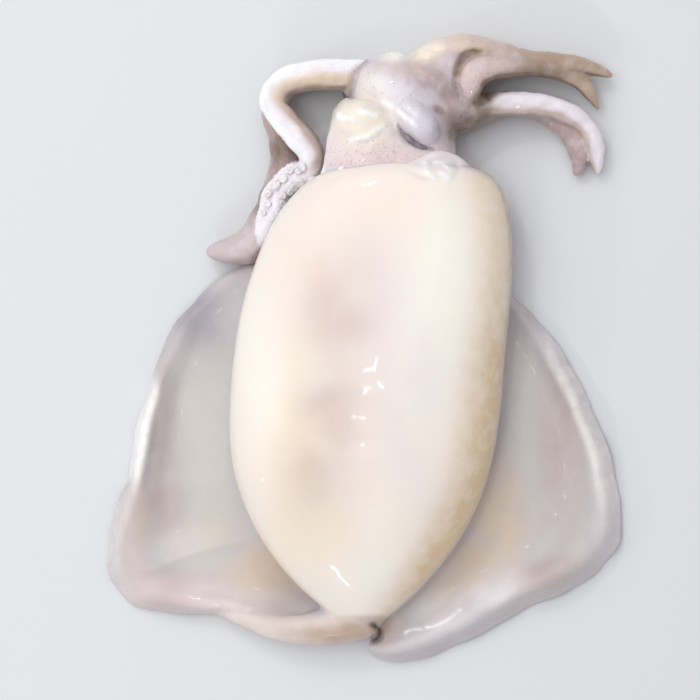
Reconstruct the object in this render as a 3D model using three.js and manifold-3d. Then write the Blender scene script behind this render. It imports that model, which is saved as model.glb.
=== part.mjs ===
// A whole raw bigfin reef squid as it lies on the slab, belly up, in millimetres, +Z up.
// It is one piece: mantle, two long fins, neck, funnel, head, eyes and ten limbs are fused into one solid.
// +Y runs along the mantle towards the head and +X to the right, seen from above.
// The origin is on the flat spot under the middle of the mantle that the squid rests on.
import * as THREE from "three";
import { mergeVertices } from "three/addons/utils/BufferGeometryUtils.js";
import Module from "manifold-3d";

const wasm = await Module();
wasm.setup();

// The mantle: a plump sack, blunt at the opening and pointed at the tail.
const MANTLE_FRONT = 75.2;
const MANTLE_TAIL = -79;
const MANTLE_HALF_WIDTH = 44.8;
const MANTLE_WIDEST = 0.6;
const MANTLE_RISE = 20.6;
const MANTLE_MIDDLE_HEIGHT = 12;
const MANTLE_TAIL_HEIGHT = 8;
const MANTLE_TAIL_SHARE = 0.35;
const MANTLE_BLUNTNESS = 0.2;
const MANTLE_SINK = 1;
const MANTLE_TOP_FULLNESS = 0.88;
const MANTLE_BACK_FULLNESS = 0.72;
const AXIS_SHIFT = -2.8;
const AXIS_BEND = 14;
const AXIS_BEND_START = -40;
const AXIS_BEND_LENGTH = 112;

// The fins: thin flaps from the back of the mantle, with a raised crest just inside the margin.
const FIN_ROOT_THICKNESS = 3.4;
const FIN_EDGE_THICKNESS = 1.3;
const FIN_REST_HEIGHT = 2.7;
const FIN_ROOT_HEIGHT = 8;
const FIN_CREST_HEIGHTS = [0.4, 1.8, 4.8, 5.6, 6.2, 5.4, 4.2, 3];
const FIN_CREST_WIDTH = 0.17;
const FIN_EDGE_HEIGHT = 1.9;
const FIN_ROOT_SHARE = 0.35;
const FIN_CREST_AT_SIDE = 0.88;
const FIN_CREST_AT_TAIL = 0.8;

// Plan points of a fin's root under the mantle and of the two margins, from the front round to the tail.
const FIN_ROOT = [[19, 34], [22, 8], [20, -25], [12, -52], [3, -72]];
const FIN_ROOT_SHIFT = -3;
const LEFT_FIN_MARGIN = [
  [-38, 48], [-54, 40], [-67, 27], [-75, 10], [-80, -6], [-83.5, -22], [-87, -34], [-91, -45],
  [-90.5, -58], [-83, -69.5], [-66, -72.5], [-48, -73.5], [-30, -78], [-10, -78.5],
];
const RIGHT_FIN_MARGIN = [
  [40, 38], [54, 26], [65, 11], [74, -8], [80, -28], [81, -44],
  [75, -56], [63, -63.5], [48, -71], [33, -79.5], [18, -85.8], [5, -87.6], [-2.5, -84.5],
];

// How round each shape is: sides round it and rings along it. A fin's are its strips across and along.
const MANTLE_GRID = [36, 28];
const FIN_GRID = [10, 30];
const EYE_GRID = [12, 8];
const SUCKER_GRID = [6, 4];
const ARM_SIDES = 8;

// Limbs: the centreline's route, the radius at the base and near the end, and the share that the tip takes.
const ARMS = [
  {
    name: "looped arm on the left",
    route: [[5, 104.6, 11], [-8, 105.7, 13], [-19, 105.7, 13], [-28, 103.6, 12], [-31.3, 97.6, 11.5],
      [-27.4, 91.4, 12.5], [-22.2, 85.6, 13], [-18.6, 79.8, 11.8], [-20.2, 74.6, 9.8],
      [-26.2, 71.8, 8.8], [-30.8, 67, 8.6], [-33, 60.6, 8.2], [-35.2, 53.6, 7]],
    base: 5.3, end: 4, tip: 0.12, rings: 34,
  },
  {
    name: "lower arm on the left",
    route: [[4, 105, 6], [-10, 107.2, 5.5], [-20, 107.4, 5.5], [-29.6, 104, 5.5], [-32.2, 96, 5.5],
      [-29.6, 87.4, 5.5], [-28.6, 79, 5.8], [-30.8, 69, 6.2], [-35, 59.2, 6.4], [-41.6, 50.4, 6.6],
      [-56.5, 48.6, 5]],
    base: 3.9, end: 6.3, tip: 0.15, rings: 24,
  },
  {
    name: "short arm under the loop",
    route: [[4, 103, 4.5], [-8, 106.2, 4], [-19, 106.8, 3.8], [-29, 103, 3.6], [-32, 95, 3.4],
      [-29.6, 86.4, 3.2], [-28, 77, 3]],
    base: 3.1, end: 2.4, tip: 0.3, rings: 12,
  },
  {
    name: "upper arm on the right",
    route: [[9, 102, 13], [19, 108.9, 15], [30, 112.8, 15.5], [40, 111.8, 14], [50, 108.8, 11.5],
      [60, 107.8, 9.5], [70, 107, 7], [80, 104, 4]],
    base: 4.7, end: 2.8, tip: 0.25, rings: 22,
  },
  {
    name: "folded arm on the right",
    route: [[33.4, 94.4, 11.5], [33.7, 99, 14.6], [35.6, 103.2, 16], [41, 105.8, 15.4], [48, 107, 13],
      [55, 107.2, 10.6], [62, 105.8, 8.4], [70, 101.5, 5.4], [75.5, 93, 3.2]],
    base: 5.8, end: 2.7, tip: 0.25, start: 0.2, rings: 22,
  },
  {
    name: "pale arm on the right",
    route: [[20, 95, 9], [33, 93.8, 9.5], [44, 94.9, 9.5], [54, 94.6, 9], [63, 92.6, 8],
      [70, 88.2, 6.5], [74, 81, 5], [74.5, 71.5, 3.2]],
    base: 4.6, end: 3, tip: 0.25, rings: 22,
  },
  {
    name: "lower arm on the right",
    route: [[20, 90, 6.5], [32, 93.2, 6], [44, 95.8, 5], [53, 95.4, 4.6], [60.5, 91.2, 4.2],
      [66, 85.4, 4], [68.8, 78, 3.6], [67.4, 71.5, 2.8]],
    base: 4.6, end: 2.9, tip: 0.25, rings: 20,
  },
  {
    name: "arm beneath the upper pair",
    route: [[14, 103, 6], [26, 108.6, 5], [38, 110.6, 4.6], [50, 109.4, 4.2], [60, 108.2, 3.8],
      [69, 103.8, 2.8]],
    base: 3.8, end: 2.6, tip: 0.3, rings: 10,
  },
  {
    name: "right tentacle",
    route: [[18, 98, 5], [30, 96, 4.6], [42, 96.4, 4.2], [54, 96.2, 3.8], [64, 93.6, 3.4],
      [72, 88, 2.6]],
    base: 3.2, end: 2.2, tip: 0.3, rings: 11,
  },
  {
    name: "left tentacle",
    route: [[6, 105, 5], [-4, 107.6, 4.4], [-15, 107.6, 4], [-25, 105.4, 3.6], [-32.4, 100, 2.8]],
    base: 2.9, end: 2.2, tip: 0.3, rings: 10,
  },
];

// Swellings that are swept like a limb, with a half width and a half height at each point of the route: the
// neck and head, the arms' common base, the root of the lower arms, the funnel, the fins' fold at the tail
// and the fold of skin at the mantle's opening.
const HEAD = {
  grid: [18, 14],
  route: [[6, 60, 12], [8, 74, 12.5], [9.5, 86, 12.5], [10.5, 97, 12.5], [9.5, 106, 12], [9, 113, 11]],
  halfWidths: [18, 21, 19.5, 17.5, 14, 5],
  halfHeights: [11, 12.5, 12.5, 12, 10.5, 5],
};
const CROWN = {
  grid: [14, 10],
  route: [[8, 99, 12], [16, 102.5, 12.5], [25, 104.8, 12.5], [34, 107, 11.5], [43, 108, 10]],
  halfWidths: [9, 9.6, 10.4, 8, 4.5],
  halfHeights: [7, 10, 8.6, 5.6, 3.6],
};
const CHEEK = {
  grid: [12, 9],
  route: [[15, 92, 11], [22, 91.5, 11], [29, 92.4, 10], [37, 94, 8.5], [46, 95, 7.4]],
  halfWidths: [8, 9.5, 7.2, 5.2, 4.2],
  halfHeights: [8, 9.5, 8, 6.2, 4.6],
};
const FUNNEL = {
  grid: [14, 10],
  route: [[3, 60, 16], [2.8, 73, 17], [1.4, 80.5, 18.4], [-0.5, 87.6, 19.4], [-1.6, 92.6, 19.4],
    [-1.6, 96.8, 18]],
  halfWidths: [17, 17.5, 14.8, 12, 9, 4.8],
  halfHeights: [8, 9, 9, 8.4, 7, 4.4],
};
const COLLAR_FOLD = {
  grid: [9, 12],
  route: [[8, 71, 22.6], [14, 72.2, 23], [19.4, 73.8, 22.4], [24, 75.6, 20.6], [28.4, 75, 17.6],
    [33, 71.6, 15], [38, 66.4, 12]],
  halfWidths: [1.2, 2.2, 2.9, 3.4, 3.4, 3.1, 2],
  halfHeights: [1.4, 2.2, 2.8, 3.2, 3.4, 3.2, 2.6],
};
const TAIL_LIP = {
  grid: [10, 12],
  route: [[4, -70, 8], [-8, -74, 8], [-20, -76.4, 7], [-32, -76.2, 5.8], [-43, -73.2, 4.6], [-54, -71, 3.2]],
  halfWidths: [8, 7, 5.6, 4.2, 3, 1.6],
  halfHeights: [6, 5.4, 4.8, 3.8, 2.8, 1.4],
};

// Eyes bulge from the sides of the head under the skin: centre, half sizes and turn about the vertical.
const EYES = [
  { centre: [16.5, 88.2, 18.6], half: [10.5, 7, 9.2], turn: -46 },
  { centre: [-1.5, 102, 9.5], half: [7, 8.5, 7.6], turn: 10 },
];

// Two rows of suckers stand on the far end of the looped arm, which has rolled over.
const SUCKERED_ARM = "looped arm on the left";
const SUCKER_PAIRS = 8;
const SUCKER_FIRST = 0.65;
const SUCKER_LAST = 0.96;
const SUCKER_RADIUS = 1.55;
const SUCKER_ANGLES = [66, 128];
const SUCKER_SHRINK = 0.33;

// How far along a shape its two ends close, as shares of its length.
const SWELLING_ENDS = [0.16, 0.2];
const ARM_BASE_END = 0.05;

// Everything below the resting face is cut away.
const FLOOR_CUT = 20;
const FLOOR_SIZE = 400;

const { clamp, degToRad, lerp } = THREE.MathUtils;

const smoothStep = (low, high, x) => THREE.MathUtils.smoothstep(x, low, high);

const smoothLine = (points) =>
  new THREE.CatmullRomCurve3(points.map(([x, y, z = 0]) => new THREE.Vector3(x, y, z)), false, "catmullrom");

const smoothValue = (values, t) => smoothLine(values.map((value) => [value, 0])).getPoint(t).x;

// A closed solid from a geometry, with its duplicate corners merged and its faces turned outwards.
function solidOf(geometry) {
  geometry.deleteAttribute("normal");
  geometry.deleteAttribute("uv");
  const merged = mergeVertices(geometry, 1e-4);
  const faces = new Uint32Array(merged.index.array);
  const build = () =>
    new wasm.Manifold(
      new wasm.Mesh({ numProp: 3, vertProperties: merged.attributes.position.array, triVerts: faces }),
    );
  const first = build();
  if (first.volume() > 0) return first;
  for (let i = 0; i < faces.length; i += 3) {
    [faces[i + 1], faces[i + 2]] = [faces[i + 2], faces[i + 1]];
  }
  return build();
}

// Wraps a ball over the surface place(around, along), where along runs from 0 at one pole to 1 at the other.
function wrapped([sides, rings], place) {
  const ball = new THREE.SphereGeometry(1, sides, rings);
  const position = ball.getAttribute("position");
  const uv = ball.getAttribute("uv");
  for (let i = 0; i < position.count; i++) {
    const p = place(uv.getX(i) * 2 * Math.PI, 1 - uv.getY(i));
    position.setXYZ(i, p.x, p.y, p.z);
  }
  return solidOf(ball);
}

// Rings lie closer together near both ends, where the shape closes.
const crowdEnds = (v, crowding = 0.8) => v - (crowding * Math.sin(2 * Math.PI * v)) / (2 * Math.PI);

// The quarter-circle closing of an end: 0 at the very end, 1 once the end is passed.
const roundEnd = (distance, length) => Math.sqrt(1 - (1 - clamp(distance / length, 0, 1)) ** 2);

const power = (value, exponent) => Math.sign(value) * Math.abs(value) ** exponent;

// The x of the mantle's slightly bent axis.
const axisX = (y) =>
  AXIS_SHIFT + AXIS_BEND * (Math.max(0, y - AXIS_BEND_START) / AXIS_BEND_LENGTH) ** 2;

// The mantle's half width as a share of its widest, from the tail (0) to the front (1).
function mantleShare(s) {
  if (s < MANTLE_WIDEST) return 1 - ((MANTLE_WIDEST - s) / MANTLE_WIDEST) ** 3;
  return (1 - ((s - MANTLE_WIDEST) / (1 - MANTLE_WIDEST)) ** 2) ** MANTLE_BLUNTNESS;
}

function mantle() {
  const length = MANTLE_FRONT - MANTLE_TAIL;
  return wrapped(MANTLE_GRID, (around, along) => {
    const s = crowdEnds(along);
    const share = mantleShare(s);
    const y = MANTLE_TAIL + length * s;
    const middle = lerp(MANTLE_TAIL_HEIGHT, MANTLE_MIDDLE_HEIGHT, smoothStep(0, MANTLE_TAIL_SHARE, s));
    const up = Math.sin(around);
    const belly = up > 0;
    const crown = share ** (s > MANTLE_WIDEST ? 0.6 : 0.75);
    const height = belly ? MANTLE_RISE * crown : (middle + MANTLE_SINK) * share ** 0.5;
    return new THREE.Vector3(
      axisX(y) + MANTLE_HALF_WIDTH * share * power(Math.cos(around), MANTLE_TOP_FULLNESS),
      y,
      middle + height * power(up, belly ? MANTLE_TOP_FULLNESS : MANTLE_BACK_FULLNESS),
    );
  });
}

// A point of a swept shape: the section's half width lies level across the route and its half height upright.
function sweptPoint(line, t, around, halfWidth, halfHeight) {
  const centre = line.getPoint(t);
  const ahead = line.getTangent(t);
  const across = new THREE.Vector3(ahead.y, -ahead.x, 0).normalize();
  const upright = new THREE.Vector3().crossVectors(across, ahead);
  return centre
    .addScaledVector(across, halfWidth * Math.cos(around))
    .addScaledVector(upright, halfHeight * Math.sin(around));
}

function swelling(spec) {
  const line = smoothLine(spec.route);
  const [startEnd, farEnd] = SWELLING_ENDS;
  return wrapped(spec.grid, (around, along) => {
    const t = crowdEnds(along);
    const close = Math.min(roundEnd(t, startEnd), roundEnd(1 - t, farEnd));
    const halfWidth = smoothValue(spec.halfWidths, t) * close;
    const halfHeight = smoothValue(spec.halfHeights, t) * close;
    return sweptPoint(line, t, around, halfWidth, halfHeight);
  });
}

// An arm's radius tapers evenly from its base and closes over its start and its tip.
const armRadius = (spec, t) =>
  lerp(spec.base, spec.end, t) * roundEnd(t, spec.start ?? ARM_BASE_END) * roundEnd(1 - t, spec.tip);

function arm(spec) {
  const line = smoothLine(spec.route);
  return wrapped([ARM_SIDES, spec.rings], (around, along) => {
    const t = crowdEnds(along, 0.5);
    const radius = armRadius(spec, t);
    return sweptPoint(line, t, around, radius, radius);
  });
}

function suckers(spec) {
  const line = smoothLine(spec.route);
  const cups = [];
  for (let pair = 0; pair < SUCKER_PAIRS; pair++) {
    SUCKER_ANGLES.forEach((angle, row) => {
      const share = (pair + row / 2) / SUCKER_PAIRS;
      const t = lerp(SUCKER_FIRST, SUCKER_LAST, share);
      const radius = SUCKER_RADIUS * (1 - SUCKER_SHRINK * share);
      const seat = armRadius(spec, t);
      const centre = sweptPoint(line, t, degToRad(angle), seat, seat);
      cups.push(new THREE.SphereGeometry(radius, ...SUCKER_GRID).translate(centre.x, centre.y, centre.z));
    });
  }
  return cups.map(solidOf);
}

function eye({ centre, half, turn }) {
  const ball = new THREE.SphereGeometry(1, ...EYE_GRID);
  ball.scale(...half).rotateZ(degToRad(turn)).translate(...centre);
  return solidOf(ball);
}

// The height of a fin's upper face, from the root (u = 0) to the margin (u = 1) and from the front (v = 0) to
// the tail (v = 1): low beside the mantle, up to the crest, then down to the margin.
function finHeight(u, v) {
  const crest = lerp(FIN_CREST_AT_SIDE, FIN_CREST_AT_TAIL, smoothStep(0.5, 0.75, v));
  const hump = Math.exp(-(((u - crest) / FIN_CREST_WIDTH) ** 2));
  const root = FIN_ROOT_HEIGHT * Math.max(0, 1 - u / FIN_ROOT_SHARE) ** 2;
  const inner = FIN_REST_HEIGHT + root + smoothValue(FIN_CREST_HEIGHTS, v) * hump;
  return lerp(inner, FIN_EDGE_HEIGHT, smoothStep(crest, 1, u) ** 1.6);
}

// A fin is a sheet ruled from its root line out to its margin.
function fin(side, marginPoints) {
  const margin = smoothLine(marginPoints);
  const root = smoothLine(FIN_ROOT.map(([x, y]) => [side * x + FIN_ROOT_SHIFT, y]));
  const sheet = new THREE.BoxGeometry(1, 1, 1, ...FIN_GRID, 1);
  const position = sheet.getAttribute("position");
  for (let i = 0; i < position.count; i++) {
    const u = position.getX(i) + 0.5;
    const v = position.getY(i) + 0.5;
    const plan = root.getPoint(v).lerp(margin.getPoint(v), u);
    const thickness = lerp(FIN_ROOT_THICKNESS, FIN_EDGE_THICKNESS, u ** 1.5);
    const top = finHeight(u, v);
    position.setXYZ(i, plan.x, plan.y, position.getZ(i) > 0 ? top : top - thickness);
  }
  return solidOf(sheet);
}

// Joins the pieces into one body and cuts its resting face flat.
function fused(pieces) {
  const joined = pieces.reduce((all, piece) => all.add(piece));
  const slab = new THREE.BoxGeometry(FLOOR_SIZE, FLOOR_SIZE, FLOOR_CUT).translate(0, 0, -FLOOR_CUT / 2);
  const bodies = joined.subtract(solidOf(slab)).decompose();
  return bodies.reduce((largest, body) => (body.volume() > largest.volume() ? body : largest));
}

function geometryOf(solid) {
  const mesh = solid.getMesh();
  const corners = new Float32Array(mesh.numVert * 3);
  for (let i = 0; i < mesh.numVert; i++) {
    corners.set(mesh.vertProperties.subarray(i * mesh.numProp, i * mesh.numProp + 3), i * 3);
  }
  const geometry = new THREE.BufferGeometry();
  geometry.setAttribute("position", new THREE.BufferAttribute(corners, 3));
  geometry.setIndex(new THREE.BufferAttribute(mesh.triVerts, 1));
  geometry.computeVertexNormals();
  return geometry;
}

const flesh = new THREE.MeshStandardMaterial({ color: 0xece0d8, roughness: 0.35, metalness: 0 });

const body = fused([
  mantle(),
  fin(-1, LEFT_FIN_MARGIN),
  fin(1, RIGHT_FIN_MARGIN),
  ...[TAIL_LIP, COLLAR_FOLD, HEAD, CROWN, CHEEK, FUNNEL].map(swelling),
  ...EYES.map(eye),
  ...ARMS.map(arm),
  ...suckers(ARMS.find(({ name }) => name === SUCKERED_ARM)),
]);

const squid = new THREE.Mesh(geometryOf(body), flesh);
squid.name = "squid";

const part = new THREE.Group();
part.add(squid);

export default part;
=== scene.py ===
# %% [markdown]
# A whole raw bigfin reef squid, belly up
#
# The CAD frame holds one closed solid for the animal, because it is one piece of flesh. Here that solid is
# hidden and replaced by three finer skins: the mantle with its fins, the head with its arms, and the rows
# of suckers. Two dark eyes look out from under their lids. Lengths are written in millimetres, as on a
# drawing, and MM turns them into Blender's metres.

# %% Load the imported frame
import math

import bmesh
import bpy
import numpy as np
from mathutils import Matrix, Vector, kdtree, noise
from mathutils.bvhtree import BVHTree


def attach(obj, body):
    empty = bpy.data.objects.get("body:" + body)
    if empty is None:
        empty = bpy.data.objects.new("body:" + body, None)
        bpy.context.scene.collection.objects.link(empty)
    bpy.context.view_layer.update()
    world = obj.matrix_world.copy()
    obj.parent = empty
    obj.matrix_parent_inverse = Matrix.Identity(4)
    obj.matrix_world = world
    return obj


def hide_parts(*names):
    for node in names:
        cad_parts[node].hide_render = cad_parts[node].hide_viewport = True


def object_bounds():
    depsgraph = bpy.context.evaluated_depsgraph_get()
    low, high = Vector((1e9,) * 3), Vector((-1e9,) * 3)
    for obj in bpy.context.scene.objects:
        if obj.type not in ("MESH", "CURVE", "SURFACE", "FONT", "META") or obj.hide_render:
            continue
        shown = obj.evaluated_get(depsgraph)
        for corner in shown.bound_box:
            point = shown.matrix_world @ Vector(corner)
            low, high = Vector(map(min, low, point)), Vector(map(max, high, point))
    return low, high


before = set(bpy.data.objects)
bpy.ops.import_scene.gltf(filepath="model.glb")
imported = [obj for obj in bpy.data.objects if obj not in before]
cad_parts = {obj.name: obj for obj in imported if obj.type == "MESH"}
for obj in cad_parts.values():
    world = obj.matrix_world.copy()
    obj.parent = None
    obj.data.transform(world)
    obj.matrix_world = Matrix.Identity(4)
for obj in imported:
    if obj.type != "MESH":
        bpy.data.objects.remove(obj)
cad_low, cad_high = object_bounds()
MM = 0.001
print("CAD box in mm:", [round(v / MM, 1) for v in (*cad_low, *cad_high)])

# %% [markdown]
# The camera
#
# The squid is seen almost straight from above, by a camera that hangs a little to its right. A long lens
# from 60 cm keeps the perspective of the picture. The camera aims at the middle of the CAD box, so nothing
# has to be shifted, and its lens is worked out from the share of the picture that the squid fills.

# %% Hang the camera
CAMERA_PLACE = Vector((100, -20, 610)) * MM
CAMERA_FILL = 0.9

camera = bpy.data.objects.new("Camera", bpy.data.cameras.new("Camera"))
bpy.context.scene.collection.objects.link(camera)
bpy.context.scene.camera = camera
aim = (cad_low + cad_high) / 2
camera.location = CAMERA_PLACE
ahead = (aim - CAMERA_PLACE).normalized()
right = ahead.cross(Vector((0, 1, 0))).normalized()
camera.rotation_mode = "QUATERNION"
camera.rotation_quaternion = Matrix((right, right.cross(ahead), -ahead)).transposed().to_quaternion()
longest_side = max(cad_high - cad_low)
distance = (aim - CAMERA_PLACE).length
camera.data.lens = camera.data.sensor_width * distance * CAMERA_FILL / longest_side
print("camera distance in mm:", round(distance / MM), "lens in mm:", round(camera.data.lens, 1))

# %% [markdown]
# Places as they are seen
#
# Places were read off the picture as if they all lay on one level, 8 mm above the slab. A raised place
# looks farther from the camera's foot than it is. This helper moves points to where they appear on that
# level, so grooves and patches of colour land where the eye expects them.

# %% Helper for places as seen
SEEN_LEVEL = 8
CAMERA_MM = np.array(CAMERA_PLACE) / MM


def as_seen(points):
    """Where points appear on the level of 8 mm, as two coordinates in millimetres."""
    painted_crest_light = (points[:, 2] - SEEN_LEVEL) / (CAMERA_MM[2] - points[:, 2])
    return points[:, :2] + (points[:, :2] - CAMERA_MM[:2]) * painted_crest_light[:, None]


print("a place 25 mm up seems shifted by", np.round(as_seen(np.array([[0.0, 80, 25]]))[0] - (0, 80), 1), "mm")

# %% [markdown]
# Smooth lines through a few points
#
# Limbs, fin margins and folds all follow a smooth line through a few given points. A Catmull-Rom
# spline passes through its points, which a Bezier curve's handles don't, so the points can be read off as
# real places on the animal. The helper gives the place and the direction for a whole array of shares at
# once.

# %% Helpers for lines and soft steps


def smooth_line(points):
    """A function that gives places and directions on the line through the points, for shares 0 to 1."""
    points = np.array(points, float)
    if points.ndim == 1:
        points = points[:, None]
    run = np.vstack([2 * points[0] - points[1], points, 2 * points[-1] - points[-2]])

    def at(share):
        step = np.clip(np.asarray(share, float), 0, 1) * (len(points) - 1)
        index = np.minimum(step.astype(int), len(points) - 2)
        w = (step - index)[..., None]
        before, start, end, after = (run[index + k] for k in range(4))
        leave, arrive = (end - before) / 2, (after - start) / 2
        square = 3 * (end - start) - 2 * leave - arrive
        cube = 2 * (start - end) + leave + arrive
        place = start + leave * w + square * w**2 + cube * w**3
        ahead = leave + 2 * square * w + 3 * cube * w**2
        length = np.maximum(np.linalg.norm(ahead, axis=-1, keepdims=True), 1e-9)
        return place, ahead / length

    return at


def smooth_value(values, share):
    """A number that changes smoothly through the values, for shares 0 to 1."""
    return smooth_line(values)(share)[0][..., 0]


def soft_step(low, high, x):
    """0 below low, 1 above high, and a soft slope between them; low may be the higher one."""
    t = np.clip((x - low) / (high - low), 0, 1)
    return t * t * (3 - 2 * t)


def blend(a, b, share):
    return a + (b - a) * share


def round_end(distance, length):
    """The quarter circle that closes an end: 0 at the very end and 1 once the end is passed."""
    return np.sqrt(1 - (1 - np.clip(distance / length, 0, 1)) ** 2)


def power(value, exponent):
    """A power that keeps the sign."""
    return np.sign(value) * np.abs(value) ** exponent


# %% [markdown]
# One way to make every soft form
#
# An animal has no flat faces and no open edges. So each form starts as bmesh's UV sphere, which is closed,
# and its points are moved: the sphere's turn about its axis becomes the turn round the body, and the way
# from pole to pole becomes the way along it. A box or a grid would need its edges rounded and its ends
# closed afterwards.

# %% Wrap a ball over a form


def wrapped(segments, rings, place):
    """A bmesh ball moved onto place(around, along), in millimetres."""
    bm = bmesh.new()
    bmesh.ops.create_uvsphere(bm, u_segments=segments, v_segments=rings, radius=1)
    co = np.array([v.co for v in bm.verts])
    around = np.arctan2(co[:, 1], co[:, 0])
    along = np.arccos(np.clip(-co[:, 2], -1, 1)) / np.pi
    for vert, point in zip(bm.verts, place(around, along)):
        vert.co = point * MM
    return bm


def crowd_ends(share, crowding=0.8):
    """Moves the rings closer together near both ends."""
    return share - crowding * np.sin(2 * np.pi * share) / (2 * np.pi)


def swept(line, share, around, half_width, half_height):
    """Points round a smooth line: the half width lies level across it and the half height upright."""
    centre, ahead = line(share)
    across = np.stack([ahead[:, 1], -ahead[:, 0], np.zeros(len(ahead))], axis=1)
    across /= np.maximum(np.linalg.norm(across, axis=1, keepdims=True), 1e-9)
    upright = np.cross(across, ahead)
    return (
        centre
        + across * (half_width * np.cos(around))[:, None]
        + upright * (half_height * np.sin(around))[:, None]
    )


# %% [markdown]
# The mantle
#
# The mantle is the plump white sack. Its width grows quickly from the pointed tail, stays nearly even, and
# ends in a blunt collar from which the neck comes out. Under its own weight the back lies flat on the slab
# while the belly stays round, so the upper and lower half have their own fullness. The collar turns in a
# little round the neck, as the real opening does.

# %% Shape the mantle
MANTLE_FRONT = 75.2
MANTLE_TAIL = -79
MANTLE_HALF_WIDTH = 44.8
MANTLE_WIDEST = 0.6
MANTLE_RISE = 20.6
MANTLE_MIDDLE_HEIGHT = 12
MANTLE_TAIL_HEIGHT = 8
MANTLE_TAIL_SHARE = 0.35
MANTLE_BLUNTNESS = 0.2
MANTLE_SINK = 1
MANTLE_TOP_FULLNESS = 0.88
MANTLE_BACK_FULLNESS = 0.72
MANTLE_CROWN_AT_TAIL = 0.75
MANTLE_CROWN_AT_FRONT = 0.6
COLLAR_DEPTH = 3
AXIS_SHIFT = -2.8
AXIS_BEND = 14
AXIS_BEND_START = -40
AXIS_BEND_LENGTH = 112


def axis_x(y):
    """The mantle's middle line bends a little to the right towards the head."""
    return AXIS_SHIFT + AXIS_BEND * (np.maximum(0, y - AXIS_BEND_START) / AXIS_BEND_LENGTH) ** 2


def mantle_share(s):
    """The half width as a share of the widest, from the tail (0) to the front (1)."""
    tail = 1 - (np.clip(MANTLE_WIDEST - s, 0, None) / MANTLE_WIDEST) ** 3
    front = (1 - (np.clip(s - MANTLE_WIDEST, 0, None) / (1 - MANTLE_WIDEST)) ** 2) ** MANTLE_BLUNTNESS
    return np.where(s < MANTLE_WIDEST, tail, front)


def mantle_place(around, along):
    s = crowd_ends(along)
    share = mantle_share(s)
    y = blend(MANTLE_TAIL, MANTLE_FRONT, s)
    middle = blend(MANTLE_TAIL_HEIGHT, MANTLE_MIDDLE_HEIGHT, soft_step(0, MANTLE_TAIL_SHARE, s))
    up = np.sin(around)
    crown = share ** np.where(s > MANTLE_WIDEST, MANTLE_CROWN_AT_FRONT, MANTLE_CROWN_AT_TAIL)
    rise = np.where(up > 0, MANTLE_RISE * crown, (middle + MANTLE_SINK) * np.sqrt(share))
    fullness = np.where(up > 0, MANTLE_TOP_FULLNESS, MANTLE_BACK_FULLNESS)
    x = axis_x(y) + MANTLE_HALF_WIDTH * share * power(np.cos(around), MANTLE_TOP_FULLNESS)
    tucked = COLLAR_DEPTH * soft_step(0.55, 0.2, share) * (s > MANTLE_WIDEST)
    return np.stack([x, y - tucked, middle + rise * power(up, fullness)], axis=1)


mantle_form = wrapped(128, 110, mantle_place)
print("mantle points:", len(mantle_form.verts))

# %% [markdown]
# The fins
#
# Each fin is a thin flap that runs the whole length of the mantle and is widest near the tail. It leaves
# the back under the mantle, dips in a shallow dish, and rises to its margin. Along the side the margin
# curls up into a narrow bright rim; round the corner it swells into a soft lobe, and at the tail it rolls
# down to the slab. A grid with a Solidify modifier would leave a square rim, so the ball is pressed flat
# instead: one turn round it goes out over the top of the fin and back underneath, which keeps the margin
# round.

# %% Shape the two fins
FIN_ROOT_THICKNESS = 3.4
FIN_EDGE_THICKNESS = 1.9
FIN_REST_HEIGHT = 2.7
FIN_ROOT_HEIGHT = 8
FIN_EDGE_HEIGHT = 2.1
FIN_ROOT_SHARE = 0.35
FIN_CREST_HEIGHTS = [0.4, 1.8, 4.8, 5.6, 5.8, 4.6, 3.6, 2.6]
FIN_CREST_PLACES = [0.88, 0.9, 0.9, 0.89, 0.87, 0.82, 0.8, 0.8]
FIN_CREST_WIDTHS = [0.14, 0.12, 0.09, 0.1, 0.13, 0.16, 0.18, 0.18]
FIN_CREST_FALL = 0.2
FIN_ENDS = 0.03
FIN_ROOT = [(19, 34), (22, 8), (20, -25), (12, -52), (3, -72)]
FIN_ROOT_SHIFT = -3
LEFT_FIN_MARGIN = [
    (-38, 48), (-54, 40), (-67, 27), (-75, 10), (-80, -6), (-83.5, -22), (-87, -34), (-91, -45),
    (-90.5, -58), (-83, -69.5), (-66, -72.5), (-48, -73.5), (-30, -78), (-10, -78.5),
]
RIGHT_FIN_MARGIN = [
    (40, 38), (54, 26), (65, 11), (74, -8), (80, -28), (81, -44),
    (75, -56), (63, -63.5), (48, -71), (33, -79.5), (18, -85.8), (5, -87.6), (-2.5, -84.5),
]
RUFFLES = [(7, 0.5, 0.4), (13, 0.3, 2.1)]
RUFFLE_REACH = 0.012


def fin_height(u, v):
    """The height of the upper face: u runs from root to margin, v from the front to the tail."""
    crest = smooth_value(FIN_CREST_PLACES, v)
    width = smooth_value(FIN_CREST_WIDTHS, v)
    hump = np.exp(-(((u - crest) / np.where(u < crest, width, FIN_CREST_FALL)) ** 2))
    root = FIN_ROOT_HEIGHT * np.maximum(0, 1 - u / FIN_ROOT_SHARE) ** 2
    inner = FIN_REST_HEIGHT + root + smooth_value(FIN_CREST_HEIGHTS, v) * hump
    return blend(inner, FIN_EDGE_HEIGHT, soft_step(crest, 1, u) ** 1.6)


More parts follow.
